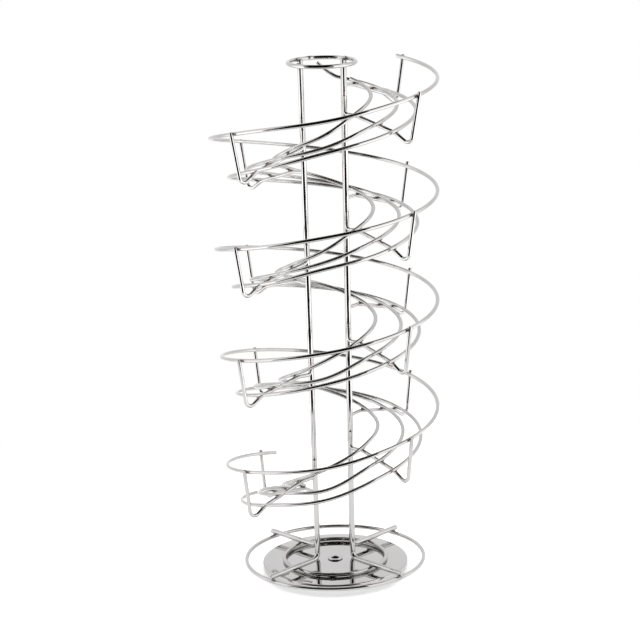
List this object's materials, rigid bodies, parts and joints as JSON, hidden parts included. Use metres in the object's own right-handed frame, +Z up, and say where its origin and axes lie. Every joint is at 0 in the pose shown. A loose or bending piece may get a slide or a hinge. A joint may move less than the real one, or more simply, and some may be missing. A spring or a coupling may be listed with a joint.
{
  "type": "rolling egg dispenser",
  "caption": "Tall spiral wire rack on a turning round base; eggs roll down a sloping rail run behind a guard rail and are taken out at the bottom.",
  "frame": {"origin": "on the turning axis, at the height of the table it stands on", "axes": "+Z up along the turning axis, -Y towards the front as in the picture, +X to the right"},
  "size_m": [0.1784, 0.177, 0.4155],
  "materials": {
    "chrome_wire": "bright chrome plated steel wire",
    "chrome_rail": "bright chrome plated steel wire",
    "chrome_sheet": "mirror-bright chrome plated steel sheet",
    "zinc_sheet": "dull zinc plated steel sheet",
    "rivet_metal": "plated hollow rivet",
    "ball_steel": "polished steel balls",
    "cage_plastic": "plain pale moulded plastic",
    "foot_rubber": "matt black rubber"
  },
  "bodies": {
    "base": {"lower_disc": "zinc_sheet", "centre_rivet": "rivet_metal", "foot_1": "foot_rubber", "foot_2": "foot_rubber", "foot_3": "foot_rubber"},
    "race": {"ball_cage": "cage_plastic", "ball_01": "ball_steel", "ball_02": "ball_steel", "ball_03": "ball_steel", "ball_04": "ball_steel", "ball_05": "ball_steel", "ball_06": "ball_steel", "ball_07": "ball_steel", "ball_08": "ball_steel", "ball_09": "ball_steel", "ball_10": "ball_steel"},
    "frame": {"upper_disc": "chrome_sheet", "inner_ring": "chrome_wire", "base_ring": "chrome_wire", "top_ring": "chrome_wire", "upright_front_right": "chrome_wire", "upright_front_left": "chrome_wire", "upright_back_left": "chrome_wire", "upright_back_right": "chrome_wire", "guard_rail": "chrome_rail", "floor_rail_inner": "chrome_rail", "floor_rail_middle": "chrome_rail", "floor_rail_outer": "chrome_rail", "support_01": "chrome_wire", "support_02": "chrome_wire", "support_03": "chrome_wire", "support_04": "chrome_wire", "support_05": "chrome_wire", "support_06": "chrome_wire", "support_07": "chrome_wire", "support_08": "chrome_wire", "support_09": "chrome_wire", "support_10": "chrome_wire", "support_11": "chrome_wire", "support_12": "chrome_wire", "support_13": "chrome_wire", "support_14": "chrome_wire", "support_15": "chrome_wire", "support_16": "chrome_wire"}
  },
  "joints": [
    {"name": "turntable_spin", "type": "hinge", "parent": "base", "child": "frame", "pos_m": [0, 0, 0.0104], "axis": [0, 0, 1], "continuous": true},
    {"name": "cage_spin", "type": "hinge", "parent": "base", "child": "race", "pos_m": [0, 0, 0.00665], "axis": [0, 0, 1], "continuous": true}
  ],
  "couplings": [
    {"joint": "cage_spin", "follows": "turntable_spin", "ratio": 0.5}
  ]
}
